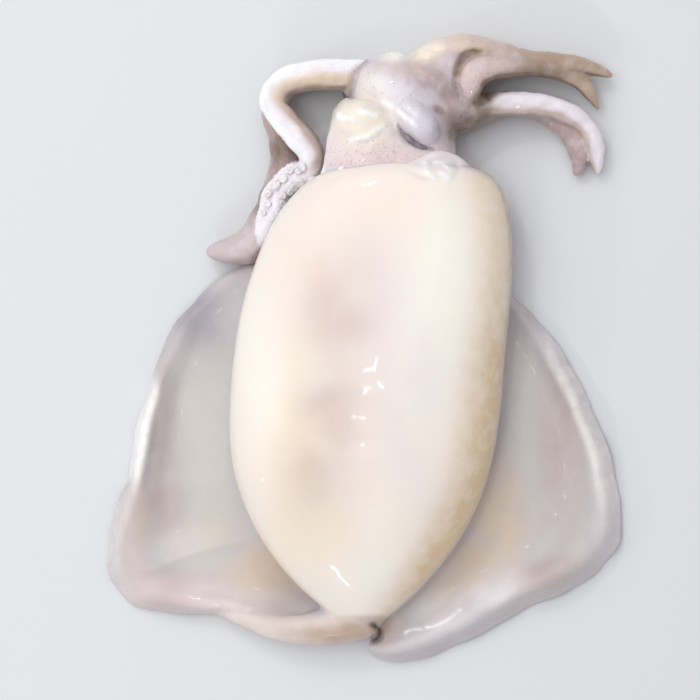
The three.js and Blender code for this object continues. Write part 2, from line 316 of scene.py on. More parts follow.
def fin_form(side, margin_points):
    margin = smooth_line(margin_points)
    root = smooth_line([(side * x + FIN_ROOT_SHIFT, y) for x, y in FIN_ROOT])

    def place(around, along):
        v = crowd_ends(along, 0.3)
        closing = round_end(v, FIN_ENDS) * round_end(1 - v, FIN_ENDS)
        u = 0.5 + 0.5 * np.cos(around) * closing
        edge, _ = margin(v)
        inner, _ = root(v)
        ruffle = sum(size * np.sin(count * v * np.pi * 2 + turn + side) for count, size, turn in RUFFLES)
        plan = inner + (edge - inner) * (u + RUFFLE_REACH * ruffle * u**6)[:, None]
        top = fin_height(u, v) + ruffle * u**3 * np.sin(v * np.pi)
        reach = np.linalg.norm(edge - inner, axis=1)
        steepness = (fin_height(u + 0.01, v) - fin_height(u - 0.01, v)) / (0.02 * reach)
        thickness = blend(FIN_ROOT_THICKNESS, FIN_EDGE_THICKNESS, u**1.5) * np.hypot(1, steepness)
        rounding = 1 - (1 - np.abs(np.sin(around))) ** 4
        middle = top - thickness / 2
        height = middle + np.sign(np.sin(around)) * rounding * thickness / 2 * closing
        return np.column_stack([plan, height])

    return wrapped(120, 240, place)


left_fin_form = fin_form(-1, LEFT_FIN_MARGIN)
right_fin_form = fin_form(1, RIGHT_FIN_MARGIN)
print("fin points:", len(left_fin_form.verts), len(right_fin_form.verts))

# %% [markdown]
# Swellings
#
# The fold at the tail, the neck and head, the arms' common base and the funnel are all swellings along a
# short line, with a half width and a half height at each of its points. One function makes them all.

# %% Shape the folds at the tail and at the collar
TAIL_FOLD = dict(
    route=[(4, -70, 8), (-8, -74, 8), (-20, -76.4, 7), (-32, -76.2, 5.8), (-43, -73.2, 4.6), (-54, -71, 3.2)],
    widths=[8, 7, 5.6, 4.2, 3, 1.6],
    heights=[6, 5.4, 4.8, 3.8, 2.8, 1.4],
)
COLLAR_FOLD = dict(
    route=[(8, 71, 22.6), (14, 72.2, 23), (19.4, 73.8, 22.4), (24, 75.6, 20.6), (28.4, 75, 17.6),
           (33, 71.6, 15), (38, 66.4, 12)],
    widths=[1.2, 2.2, 2.9, 3.4, 3.4, 3.1, 2],
    heights=[1.4, 2.2, 2.8, 3.2, 3.4, 3.2, 2.6],
)
SWELLING_ENDS = (0.16, 0.2)


def swelling_form(spec, segments=48, rings=40):
    line = smooth_line(spec["route"])

    def place(around, along):
        t = crowd_ends(along)
        closing = np.minimum(round_end(t, SWELLING_ENDS[0]), round_end(1 - t, SWELLING_ENDS[1]))
        half_width = smooth_value(spec["widths"], t) * closing
        half_height = smooth_value(spec["heights"], t) * closing
        return swept(line, t, around, half_width, half_height)

    return wrapped(segments, rings, place)


fold_forms = [swelling_form(TAIL_FOLD), swelling_form(COLLAR_FOLD)]
print("fold points:", [len(form.verts) for form in fold_forms])

# %% [markdown]
# Fusing flesh
#
# Flesh has no seams where one form grows out of another. A Boolean union would keep a knife-sharp line at
# each join, so the forms are laid into one mesh and a voxel remesh wraps a single even skin over all of
# them. A few passes of smoothing then melt the joins and the voxel steps. Points that came out below the
# slab are pressed flat onto it, as the soft back is in life.

# %% Fuse forms into one skin


def as_piece(name, form):
    """A new object in the scene from a form, which is used up."""
    mesh = bpy.data.meshes.new(name)
    form.to_mesh(mesh)
    form.free()
    piece = bpy.data.objects.new(name, mesh)
    bpy.context.scene.collection.objects.link(piece)
    return piece


def joined(name, forms):
    """One object from several closed forms, which are used up."""
    whole = bmesh.new()
    for form in forms:
        part_mesh = bpy.data.meshes.new("form")
        form.to_mesh(part_mesh)
        form.free()
        whole.from_mesh(part_mesh)
        bpy.data.meshes.remove(part_mesh)
    bmesh.ops.recalc_face_normals(whole, faces=whole.faces)
    return as_piece(name, whole)


def fused(name, forms, voxel, passes):
    """One smooth skin over several overlapping closed forms, as a new object."""
    piece = joined(name, forms)
    remesh = piece.modifiers.new("Wrap", "REMESH")
    remesh.mode = "VOXEL"
    remesh.voxel_size = voxel * MM
    smooth = piece.modifiers.new("Melt", "SMOOTH")
    smooth.factor = 0.5
    smooth.iterations = passes
    depsgraph = bpy.context.evaluated_depsgraph_get()
    skin = bpy.data.meshes.new_from_object(piece.evaluated_get(depsgraph))
    piece.modifiers.clear()
    piece.data = skin
    skin.name = name
    print(name, "faces:", len(skin.polygons))
    return piece


def rows_of(piece, what):
    """One row of three numbers for each point of the piece."""
    rows = np.zeros(len(piece.data.vertices) * 3)
    piece.data.vertices.foreach_get(what, rows)
    return rows.reshape(-1, 3)


def points_of(piece):
    """The piece's points in millimetres."""
    return rows_of(piece, "co") / MM


def normals_of(piece):
    """The directions in which the skin faces at its points."""
    return rows_of(piece, "normal")


def move_points(piece, points):
    """Puts the piece's points at new places in millimetres, none of them below the slab."""
    points[:, 2] = np.maximum(points[:, 2], 0)
    piece.data.vertices.foreach_set("co", (points * MM).ravel())
    piece.data.update()


mantle_forms = [mantle_form, left_fin_form, right_fin_form, *fold_forms]
mantle = fused("mantle_and_fins", mantle_forms, voxel=0.83, passes=4)

# %% [markdown]
# The head
#
# The neck comes out of the collar and swells into the head, which bends a little to the right. The funnel,
# the animal's jet, lies on top of the neck because the belly is up. The arms leave the far side of the head
# from a common base, and a thick root on the right carries the lower ones. The eyeballs push the skin up in
# two bulges.

# %% Shape the head, the arms' base, the funnel and the eye bulges
HEAD = dict(
    route=[(6, 60, 12), (8, 74, 12.5), (9.5, 86, 12.5), (10.5, 97, 12.5), (9.5, 106, 12), (9, 113, 11)],
    widths=[18, 21, 19.5, 17.5, 14, 5],
    heights=[11, 12.5, 12.5, 12, 10.5, 5],
)
CROWN = dict(
    route=[(8, 99, 12), (16, 102.5, 12.5), (25, 104.8, 12.5), (34, 107, 11.5), (43, 108, 10)],
    widths=[9, 9.6, 10.4, 8, 4.5],
    heights=[7, 10, 8.6, 5.6, 3.6],
)
CHEEK = dict(
    route=[(15, 92, 11), (22, 91.5, 11), (29, 92.4, 10), (37, 94, 8.5), (46, 95, 7.4)],
    widths=[8, 9.5, 7.2, 5.2, 4.2],
    heights=[8, 9.5, 8, 6.2, 4.6],
)
FUNNEL = dict(
    route=[(3, 60, 16), (2.8, 73, 17), (1.4, 80.5, 18.4), (-0.5, 87.6, 19.4), (-1.6, 92.6, 19.4),
           (-1.6, 96.8, 18)],
    widths=[17, 17.5, 14.8, 12, 9, 4.8],
    heights=[8, 9, 9, 8.4, 7, 4.4],
)
EYE_BULGES = [
    dict(centre=(16.5, 88.2, 18.6), half=(10.5, 7, 9.2), turn=-46),
    dict(centre=(-1.5, 102, 9.5), half=(7, 8.5, 7.6), turn=10),
]


def ball_form(centre, half, turn, segments=40, rings=28):
    """A ball with three half sizes, turned about the vertical, at its place in millimetres."""
    bm = bmesh.new()
    bmesh.ops.create_uvsphere(bm, u_segments=segments, v_segments=rings, radius=1)
    bmesh.ops.scale(bm, vec=Vector(half) * MM, verts=bm.verts)
    bmesh.ops.rotate(bm, matrix=Matrix.Rotation(math.radians(turn), 3, "Z"), verts=bm.verts)
    bmesh.ops.translate(bm, vec=Vector(centre) * MM, verts=bm.verts)
    return bm


head_forms = [swelling_form(spec) for spec in (HEAD, CROWN, CHEEK, FUNNEL)]
head_forms += [ball_form(**bulge) for bulge in EYE_BULGES]
print("head forms:", len(head_forms))

# %% [markdown]
# The arms
#
# Eight arms and two tentacles lie as they fell. Each is a ball pulled along its own line, thick at the base
# and thinning to the tip. Real arms aren't pipes: they are a little flattened, with a keel, and they bulge
# here and there, so each section is squeezed a few per cent and the radius wanders with a slow wave of its
# own.

# %% Shape the arms
ARMS = {
    "looped_left": dict(
        route=[(5, 104.6, 11), (-8, 105.7, 13), (-19, 105.7, 13), (-28, 103.6, 12), (-31.3, 97.6, 11.5),
               (-27.4, 91.4, 12.5), (-22.2, 85.6, 13), (-18.6, 79.8, 11.8), (-20.2, 74.6, 9.8),
               (-26.2, 71.8, 8.8), (-30.8, 67, 8.6), (-33, 60.6, 8.2), (-35.2, 53.6, 7)],
        base=5.3, end=4, tip=0.12,
    ),
    "lower_left": dict(
        route=[(4, 105, 6), (-10, 107.2, 5.5), (-20, 107.4, 5.5), (-29.6, 104, 5.5), (-32.2, 96, 5.5),
               (-29.6, 87.4, 5.5), (-28.6, 79, 5.8), (-30.8, 69, 6.2), (-35, 59.2, 6.4), (-41.6, 50.4, 6.6),
               (-56.5, 48.6, 5)],
        base=3.9, end=6.3, tip=0.15,
    ),
    "short_left": dict(
        route=[(4, 103, 4.5), (-8, 106.2, 4), (-19, 106.8, 3.8), (-29, 103, 3.6), (-32, 95, 3.4),
               (-29.6, 86.4, 3.2), (-28, 77, 3)],
        base=3.1, end=2.4, tip=0.3,
    ),
    "upper_right": dict(
        route=[(9, 102, 13), (19, 108.9, 15), (30, 112.8, 15.5), (40, 111.8, 14), (50, 108.8, 11.5),
               (60, 107.8, 9.5), (70, 107, 7), (80, 104, 4)],
        base=4.7, end=2.8, tip=0.25,
    ),
    "folded_right": dict(
        route=[(33.4, 94.4, 11.5), (33.7, 99, 14.6), (35.6, 103.2, 16), (41, 105.8, 15.4), (48, 107, 13),
               (55, 107.2, 10.6), (62, 105.8, 8.4), (70, 101.5, 5.4), (75.5, 93, 3.2)],
        base=5.8, end=2.7, tip=0.25, start=0.2,
    ),
    "pale_right": dict(
        route=[(20, 95, 9), (33, 93.8, 9.5), (44, 94.9, 9.5), (54, 94.6, 9), (63, 92.6, 8),
               (70, 88.2, 6.5), (74, 81, 5), (74.5, 71.5, 3.2)],
        base=4.6, end=3, tip=0.25,
    ),
    "lower_right": dict(
        route=[(20, 90, 6.5), (32, 93.2, 6), (44, 95.8, 5), (53, 95.4, 4.6), (60.5, 91.2, 4.2),
               (66, 85.4, 4), (68.8, 78, 3.6), (67.4, 71.5, 2.8)],
        base=4.6, end=2.9, tip=0.25,
    ),
    "beneath_right": dict(
        route=[(14, 103, 6), (26, 108.6, 5), (38, 110.6, 4.6), (50, 109.4, 4.2), (60, 108.2, 3.8),
               (69, 103.8, 2.8)],
        base=3.8, end=2.6, tip=0.3,
    ),
    "tentacle_right": dict(
        route=[(18, 98, 5), (30, 96, 4.6), (42, 96.4, 4.2), (54, 96.2, 3.8), (64, 93.6, 3.4), (72, 88, 2.6)],
        base=3.2, end=2.2, tip=0.3,
    ),
    "tentacle_left": dict(
        route=[(6, 105, 5), (-4, 107.6, 4.4), (-15, 107.6, 4), (-25, 105.4, 3.6), (-32.4, 100, 2.8)],
        base=2.9, end=2.2, tip=0.3,
    ),
}
ARM_BASE_END = 0.05
ARM_SQUEEZE = 0.07
ARM_WANDER = 0.05
ARM_WAVES = [(9, 1.7, 0.6), (21, 4.1, 0.4)]


def arm_radius(spec, t):
    """The radius thins evenly from the base and closes over the start and over the tip."""
    closing = round_end(t, spec.get("start", ARM_BASE_END)) * round_end(1 - t, spec["tip"])
    return blend(spec["base"], spec["end"], t) * closing


def arm_form(spec, number):
    line = smooth_line(spec["route"])

    def place(around, along):
        t = crowd_ends(along, 0.5)
        wave = sum(size * np.sin(count * t * np.pi + number * turn) for count, turn, size in ARM_WAVES)
        radius = arm_radius(spec, t) * (1 + ARM_WANDER * wave)
        keel = 1 + ARM_SQUEEZE * np.cos(3 * around + number)
        return swept(line, t, around, radius * keel, radius * keel * (1 - ARM_SQUEEZE))

    return wrapped(28, 150, place)


arm_forms = [arm_form(spec, number) for number, spec in enumerate(ARMS.values())]
print("arms:", len(arm_forms))

# %% Fuse the head and the arms
head = fused("head_and_arms", head_forms + arm_forms, voxel=0.58, passes=3)

# %% [markdown]
# Pressing in the small forms
#
# The slit under the eye's lid, the rim of the funnel, the pocket between two arms and the nick at the tail
# are dents in the finished skin. Sculpting them by hand can't be repeated, and a Boolean cut would be too
# sharp, so points are pushed along their own normals by a soft amount that fades with the distance from a
# line.

# %% Helper for grooves and ridges


def distance_to_line(places, route, samples=80):
    """How far flat places are from a smooth line, in millimetres, and the nearest share of the line."""
    shares = np.linspace(0, 1, samples)
    on_line, _ = smooth_line(route)(shares)
    gaps = np.linalg.norm(places[:, None, :] - on_line[None], axis=2)
    nearest = gaps.argmin(axis=1)
    return gaps[np.arange(len(places)), nearest], shares[nearest]


def press(piece, route, width, depth):
    """Pushes a groove along a line, given as it is seen, into the skin; a negative depth makes a ridge."""
    points, normals = points_of(piece), normals_of(piece)
    seen = as_seen(points)
    low, high = np.min(route, axis=0) - 3 * width, np.max(route, axis=0) + 3 * width
    near = np.where(((seen > low) & (seen < high)).all(axis=1) & (normals[:, 2] > 0.05))[0]
    gap, share = distance_to_line(seen[near], route)
    fade = np.sin(np.pi * np.clip(share, 0.03, 0.97)) ** 0.5
    push = depth * np.exp(-((gap / width) ** 2)) * fade
    points[near] -= normals[near] * push[:, None]
    move_points(piece, points)


def skin_under(piece, places, sink):
    """The points of the skin that are seen at those places, moved that far under the skin."""
    mesh = piece.data
    tree = BVHTree.FromPolygons([v.co for v in mesh.vertices], [p.vertices for p in mesh.polygons])
    found = []
    for x, y in places:
        target = Vector((x, y, SEEN_LEVEL)) * MM
        hit, normal, _, _ = tree.ray_cast(CAMERA_PLACE, (target - CAMERA_PLACE).normalized())
        found.append(tuple((hit - normal * sink * MM) / MM))
    return found


# %% Press the mantle's and the fins' small forms
NICK = [(0.6, -74.6), (2.6, -75.6), (3.3, -77.2), (2.6, -78.8), (1.2, -79.6)]
FIN_CREASE = [(-82, -58.5), (-73, -57), (-62, -52.5), (-52, -49.6), (-43, -48)]
RIM_LINE = [(-68.5, 9), (-72, -4), (-73.6, -16), (-76.4, -30)]
COLLAR_WRINKLES = [
    [(13, 74.6), (17.6, 72.4), (22, 72), (28, 73.6)],
    [(18.6, 78.6), (22, 77.4), (27, 78)],
    [(29, 77.6), (29.6, 74), (28, 71)],
]
# Small ridges at the collar, along which glints are also painted white.
COLLAR_GLINT_STREAKS = [
    [(18.4, 76.8), (19, 74), (21.4, 71.6)],
    [(21.8, 76.6), (24.6, 76.2), (26.6, 74)],
    [(23.6, 73.6), (26, 71.6)],
]

press(mantle, NICK, width=0.9, depth=2.2)
press(mantle, FIN_CREASE, width=1.3, depth=-0.4)
press(mantle, [(x, y - 4) for x, y in FIN_CREASE], width=2.4, depth=0.2)
press(mantle, RIM_LINE, width=1.8, depth=0.5)
for wrinkle in COLLAR_WRINKLES:
    press(mantle, wrinkle, width=0.9, depth=0.6)
for streak in COLLAR_GLINT_STREAKS:
    press(mantle, streak, width=0.9, depth=-0.35)
print("mantle pressed")

# %% Press the head's small forms
EYE_SLIT = [(9.4, 89.8), (10.8, 87), (13, 84.6), (15.8, 82.8), (18.8, 81.6), (21.4, 81)]
EYE_RIDGE = [(4.6, 97.4), (8.6, 95), (11.8, 92.2), (15.6, 89)]
FUNNEL_RIM = [(-13.8, 89), (-12.4, 94.2), (-8, 98.4), (-2, 99.8), (3.6, 98.4), (7.2, 94.8), (9.2, 90.4)]
FUNNEL_FOLDS = [
    [(-12.4, 88.4), (-8, 86.4), (-2.6, 83.6), (3.4, 86.6), (7.4, 90)],
    [(-9.4, 92.6), (-7, 90.2), (-3.4, 90.6)],
]
# Small ridges on the funnel, along which glints are also painted white.
FUNNEL_GLINT_STREAKS = [
    [(-6, 85), (-0.3, 86.2), (4.2, 89)], [(-11.6, 94.4), (-9, 92.6), (-6, 92)], [(-3.4, 94.6), (2, 93)],
]
ARM_POCKET = [(29.4, 105.8), (30, 108.8), (31.4, 111), (33.8, 112.4), (36.6, 112.8)]
ARM_FOLD = [(29, 106), (29, 101.4), (30.4, 97.6), (33.4, 94.8)]
CROWN_FOLD = [(13, 112.5), (17, 110.5), (22, 108.6), (27, 106)]
HEAD_EDGE = [(-6.6, 99.4), (-5.8, 104), (-4, 108.6), (-1, 111.6)]
ARM_PARTING = [(36, 113), (42, 111.6), (49, 110.2), (56, 109), (62, 108.4)]
ARM_UNDERSIDE = [(36.4, 97), (40, 100.6), (44.4, 103.4), (50.4, 105), (57, 105.4), (64, 103)]

eye_line = skin_under(head, EYE_SLIT, sink=1.35)
press(head, EYE_SLIT, width=1.6, depth=1.1)
press(head, EYE_RIDGE, width=1.1, depth=-0.5)
press(head, [(x + 1.4, y + 1.8) for x, y in EYE_RIDGE], width=1.3, depth=0.4)
press(head, FUNNEL_RIM, width=1.6, depth=0.9)
for fold in FUNNEL_FOLDS:
    press(head, fold, width=1.4, depth=0.45)
for streak in FUNNEL_GLINT_STREAKS:
    press(head, streak, width=1.1, depth=-0.45)
press(head, ARM_POCKET, width=1.2, depth=2.4)
press(head, ARM_PARTING, width=1.3, depth=0.5)
press(head, ARM_FOLD, width=1.1, depth=1.4)
press(head, CROWN_FOLD, width=2.2, depth=0.9)
press(head, HEAD_EDGE, width=1.3, depth=1.1)
print("eye line heights:", [round(p[2], 1) for p in eye_line])

# %% [markdown]
# Soft unevenness
#
# Raw flesh is never quite even. A slow noise moves the skin by a few tenths of a millimetre over
# centimetres, and a finer one wrinkles the head, the funnel and the arms. Wet highlights break on these
# small waves, which is what makes the surface read as wet flesh and not as plastic.

# %% Add the unevenness


def waves(points, size, seed):
    """A smooth noise between about -1 and 1, with waves of that size in millimetres."""
    shift = Vector((seed * 13.7, seed * 7.1, seed * 3.3))
    return np.array([noise.noise(Vector(p) / size + shift) for p in points])


def roughen(piece, layers):
    points, normals = points_of(piece), normals_of(piece)
    points += normals * sum(height * waves(points, size, seed) for size, height, seed in layers)[:, None]
    move_points(piece, points)


roughen(mantle, [(34, 0.8, 1), (14, 0.16, 2)])
roughen(head, [(9, 0.5, 4), (3.6, 0.26, 5)])
print("skins roughened")

# %% [markdown]
# Painting by masks
#
# The colours change over the body without edges: cream on the belly, lilac grey where a fin is thin, mauve
# and brown where the skin of the head is full of pigment cells. Some tints are painted light and painted
# shade as well: lighter where a side faces up or towards the lamps, darker in creases and gaps and on sides
# turned away, and white painted glints. Each tint gets a mask, a number from 0 to 1 on every point, worked
# out from where the point is. The materials then mix their tints by these masks. An image texture would need
# a UV map and would be less easy to change.

# %% Helpers for masks


def store(piece, name, values):
    """Keeps a mask on the piece's points, for its material to read."""
    attribute = piece.data.attributes.new(name, "FLOAT", "POINT")
    attribute.data.foreach_set("value", np.clip(values, 0, 1).astype(np.float32))


def patches(places, *strokes, edge=1.5):
    """Soft oval patches, each (strength, x, y, half width, half height, turn): the strongest counts.

    A low edge makes them fade slowly from the middle, a high one holds them even up to a clearer edge.
    """
    total = np.zeros(len(places))
    for strength, x, y, half_x, half_y, *turn in strokes:
        angle = math.radians(turn[0] if turn else 0)
        dx, dy = places[:, 0] - x, places[:, 1] - y
        along = (dx * math.cos(angle) + dy * math.sin(angle)) / half_x
        across = (-dx * math.sin(angle) + dy * math.cos(angle)) / half_y
        total = np.maximum(total, strength * np.exp(-((along**2 + across**2) ** edge)))
    return total


def near_lines(places, routes, width):
    """1 on each of the lines and 0 away from them."""
    return sum(np.exp(-((distance_to_line(places, route)[0] / width) ** 2)) for route in routes)


# %% Find the fins, the belly and the lip at the tail
LIP_LINE = [(4, -74), (-8, -77), (-20, -77.5), (-33, -76), (-45, -73)]

points, normals = points_of(mantle), normals_of(mantle)
seen = as_seen(points)
x, y, z = points.T
half_width = MANTLE_HALF_WIDTH * mantle_share(np.clip((y - MANTLE_TAIL) / (MANTLE_FRONT - MANTLE_TAIL), 0, 1))
inside = half_width - np.abs(x - axis_x(y))
to_right = (x - axis_x(y)) / MANTLE_HALF_WIDTH
on_fin = soft_step(4, -1, inside) * soft_step(16, 10, z)
on_belly = 1 - on_fin
margins = (LEFT_FIN_MARGIN, RIGHT_FIN_MARGIN)
margin_gap = np.minimum(*(distance_to_line(points[:, :2], line, 160)[0] for line in margins))
on_lip = (
    near_lines(seen, [LIP_LINE], 4.4) * soft_step(-70.5, -72.5, seen[:, 1]) * soft_step(-54, -40, seen[:, 0]))
print("points on the fins:", int((on_fin > 0.5).sum()), "on the belly:", int((on_belly > 0.5).sum()))

# %% Paint patches on the fins and on the belly, some of them painted light and painted shade
FIN_PATCHES = {
    "grey": [(1, -54, -18, 12, 44), (0.5, 55, -5, 12, 50)],
    # The taupe patches are partly the fins' greyer tone and partly painted shade inside their crests.
    "taupe_and_shade": [(0.5, -69.5, -14, 6, 30, 6), (0.8, -69, -36, 7, 11), (0.2, -54, 18, 8, 16),
              (0.75, 62, -12, 8, 34), (0.95, 57, -58, 12, 4.5, 26), (0.3, 44, -36, 8, 10)],
    "violet": [(0.85, -63, 33, 20, 10, -52), (0.2, 22, -81, 22, 4, 20), (0.5, 62, 16, 10, 22, 30),
               (0.25, -86, -58, 6, 16)],
    # Painted light on the crests and lobes of the fins.
    "painted_crest_light": [(0.4, 28, -71, 20, 6, 28), (0.65, 40, -64, 12, 5, 28), (0.35, 20, -68, 8, 4, 30),
             (0.3, -64, -50, 12, 6, 16), (0.35, -50, -67, 14, 5, -8), (0.25, -81, -64, 10, 6)],
    "sand": [(1, -36, -58, 18, 9, 30), (0.35, -58, -47, 16, 7, 16), (0.6, -79, -42, 4, 12),
             (1, 34, -54, 20, 7, 38), (1, 42, -40, 9, 20)],
    # Painted shade where the fins meet the mantle.
    "umber_and_shade": [(0.45, -30, -60, 12, 7, -50), (0.15, 28, -57, 14, 4, 42)],
    "pink": [(1, -66, -65, 24, 6, -4), (0.7, -46, -70, 12, 4), (0.6, -80, -62, 8, 8), (0.5, -86, -48, 6, 12)],
}
BELLY_PATCHES = {
    "beige": [(0.62, -13, 26, 14, 19), (0.66, -12, -6, 14, 18), (0.55, -17, -24, 18, 18),
              (0.4, -4, 40, 12, 14), (0.4, -12, 10, 14, 40)],
    "tan_spots": [(0.32, -15, 30, 6, 15, 8), (0.35, -8, 24, 9, 6), (0.4, -14, -1, 9, 5, 20),
                  (0.35, -11, -10, 6, 13), (0.25, -19, -26, 9, 10)],
    # Painted light: lighter patches on the belly.
    "painted_belly_light": [(1, 28, 36, 14, 40), (0.7, -36, 4, 8, 30), (0.5, 6, -44, 12, 22)],
    "peach": [(1, 6, 64, 26, 10), (0.8, -20, 44, 14, 14), (0.5, -26, 28, 8, 18), (0.5, 28, 58, 12, 12)],
    "butter": [(1, -28, -16, 12, 30), (0.8, -20, -44, 20, 14), (0.6, -30, 10, 9, 16)],
}
for name, strokes in FIN_PATCHES.items():
    store(mantle, name, on_fin * patches(seen, *strokes))
for name, strokes in BELLY_PATCHES.items():
    store(mantle, name, on_belly * patches(seen, *strokes, edge=1))
print("patches painted:", [*FIN_PATCHES, *BELLY_PATCHES])

# %% Paint the collar, the rims with painted light, the lip, painted shade at the edges and painted glints
# Lines of painted glints on the right fin.
FIN_GLINT_STREAKS = [
    [(11.6, -77), (14, -75.8), (17, -75.6)], [(18.6, -75.2), (22, -74.4), (26, -72.2), (29.6, -69.4)],
]

collar_skin = patches(seen, (1, 23, 78, 12, 5, -14))
# The fins' rims: partly their paler margin, partly painted light where the margin curls up towards the lamp.
narrow_lit_rim = soft_step(7.6, 5.2, margin_gap) * patches(
    seen, (1, -77, -11, 9, 24, 8), (0.5, 70, 0, 12, 40, 10), edge=3)
broad_lit_rim = soft_step(9, 5, margin_gap) * patches(seen, (0.7, -86, -46, 12, 16), (0.5, 76, -40, 10, 18))
# Painted shade: tan along the belly's right edge and at the tail end, and a faint patch near the tail.
right_edge_shade = (
    soft_step(16.5, 1, inside) * soft_step(-0.2, 0.6, to_right) * blend(0.9, 0.5, soft_step(0, 40, y)))
tail_edge_shade = soft_step(5, 0, inside) * soft_step(-10, -60, y)
tail_shade = patches(seen, (1, 18, -50, 12, 22, 28), edge=1)
high_on_lip = soft_step(-79, -74, seen[:, 1])
wet_fin = patches(seen, (1, -53, -66, 12, 5, -20), (1, 20, -76, 14, 5, 28))

store(mantle, "fin", on_fin * (1 - on_lip))
store(mantle, "rim_pale_and_lit", on_fin * (1 - on_lip) * (narrow_lit_rim + 0.5 * broad_lit_rim))
# Painted shade along the groove inside the left fin's rim.
store(mantle, "rim_groove_shade", near_lines(seen, [RIM_LINE], 1.6))
store(mantle, "lip", on_lip)
store(mantle, "lip_tan", (
    on_lip * soft_step(-38, -8, x) * blend(1, 0.45 + 0.4 * soft_step(-16, -4, x), high_on_lip)))
store(mantle, "film", 1 - 0.85 * on_fin * (1 - wet_fin))
store(mantle, "cool", on_belly * np.maximum(collar_skin, patches(
    seen, (1, 0, 26, 14, 34), (0.6, 6, -20, 16, 22), (0.8, 20, 10, 14, 16), edge=1)))
store(mantle, "shade", on_belly * (1 - collar_skin) * (right_edge_shade + 0.4 * tail_edge_shade + 0.1 * tail_shade))
# Darker brown where the belly's right side turns steeply down, more so towards the front.
store(mantle, "darker_steep_right_side", (
    on_belly * soft_step(0, 0.5, to_right) * soft_step(0.5, 0.05, normals[:, 2]) * soft_step(0, 60, y)))
store(mantle, "collar", on_belly * collar_skin)
# Painted glints: white streaks along the small ridges at the collar and on the right fin.
store(mantle, "painted_glint", near_lines(seen, COLLAR_GLINT_STREAKS, 0.7) + near_lines(seen, FIN_GLINT_STREAKS, 0.5) * on_fin)
store(mantle, "nick", near_lines(seen, [NICK], 0.7))
store(mantle, "back", soft_step(0.0, -0.6, normals[:, 2]))
print("mantle masks:", len([a for a in mantle.data.attributes if a.data_type == "FLOAT"]))

# %% [markdown]
# Arms with a light and a dark side
#
# A squid's pigment cells sit in the skin of its back. On arms that have rolled over, one side shows the
# pale mouth side and the other the tan or mauve back. The side that faces up or towards the lamp is also
# painted lighter, and the side turned away darker, as painted light and painted shade. To paint this, each
# point of the head has to know which arm it is on and how far along: the nearest sample of the arms' lines
# tells it.

# %% Find the nearest arm for each point of the head
ARM_SAMPLES = 80
arm_tree = kdtree.KDTree(len(ARMS) * ARM_SAMPLES)
arm_aheads = []
for number, spec in enumerate(ARMS.values()):
    places, aheads = smooth_line(spec["route"])(np.linspace(0, 1, ARM_SAMPLES))
    arm_aheads.append(aheads)
    for k, place in enumerate(places):
        arm_tree.insert(place, number * ARM_SAMPLES + k)
arm_tree.balance()

points, normals = points_of(head), normals_of(head)
nearest = np.array([arm_tree.find(point)[1] for point in points])
arm, share = nearest // ARM_SAMPLES, (nearest % ARM_SAMPLES) / (ARM_SAMPLES - 1)
ahead_here = np.concatenate(arm_aheads)[nearest]
side = normals[:, 0] * ahead_here[:, 1] - normals[:, 1] * ahead_here[:, 0]
print("points on each arm:", np.bincount(arm).tolist())

# %% Tell the arms from the head and their sides apart
edge_x, edge_y = zip((-14.6, 96), *HEAD_EDGE)

seen = as_seen(points)
z = points[:, 2]
left_of_edge = seen[:, 0] - np.interp(seen[:, 1], edge_y, edge_x)
off_head = np.maximum(soft_step(0.2, -1.2, left_of_edge), soft_step(31, 38, seen[:, 0]))
on_head = 1 - off_head


def on(*chosen):
    """1 on those arms, away from the head."""
    return np.isin(arm, [list(ARMS).index(name) for name in chosen]) * off_head


loop, lower_left, browns = on("looped_left"), on("lower_left"), on("upper_right", "folded_right")
after_bend, rolled = soft_step(0.34, 0.46, share), soft_step(0.6, 0.68, share)
at_bend = np.exp(-(((share - 0.29) / 0.07) ** 2))
# The inner and the under side found here are where painted shade goes on the arms.
inner_side = soft_step(0.66, -0.26, side + 0.2 * after_bend - 0.1 * at_bend)
under_side = soft_step(0.5, 0.92, side)
on_funnel = patches(seen, (1, -3, 92, 12, 11), (0.7, -2, 84, 12, 5)) * soft_step(18, 22, z)
print("points off the head:", int((off_head > 0.5).sum()))

# %% Paint the arms' two sides, with painted light and painted shade, and the head's skin
# The pale tint is partly the arms' pale mouth sides and partly painted light on their upper sides and on a
# few lit places of the head.
store(head, "pale_and_lit", (
    0.95 * loop * np.maximum(1 - inner_side, rolled * 0.9)
    + 0.68 * on("pale_right") * soft_step(0.45, -0.1, side)
    + 0.3 * lower_left * soft_step(0.2, 0.8, normals[:, 2]) * soft_step(62, 54, seen[:, 1])
    + on_head * patches(seen, (0.35, 3, 101, 10, 6, -20), (0.4, 16, 91, 6, 3, -44), (0.5, -12, 85, 5, 10))))
# Painted light: the looped arm's upper side is tinted white.
store(head, "painted_top_light", (
    0.8 * loop * soft_step(0.2, 0.7, side) * (1 - rolled) * soft_step(-0.2, 0.4, normals[:, 2])))
store(head, "mauve", (
    0.9 * on("lower_right", "beneath_right", "short_left", "tentacle_left", "tentacle_right")
    + 0.85 * lower_left + 0.3 * loop * rolled + on_head * patches(
        seen, (0.4, -5, 105, 3, 7, -14), (0.7, 20, 105.5, 9, 5, -20), (0.8, 26, 97, 4, 9),
        (0.3, 24, 84, 5, 6), (0.3, 2, 110, 7, 4), (0.35, 12, 108, 8, 4))))
# Partly tan pigment on the upper right arms, partly painted shade in tan on the loop's inner side before its
# bend.
store(head, "ochre_and_shade", 0.95 * loop * inner_side * (1 - after_bend) + patches(
    seen, (0.9, 21, 114, 9, 3.4, 22), (0.9, 33, 116, 12, 3.6, -8), (0.35, 14, 109, 6, 4)))
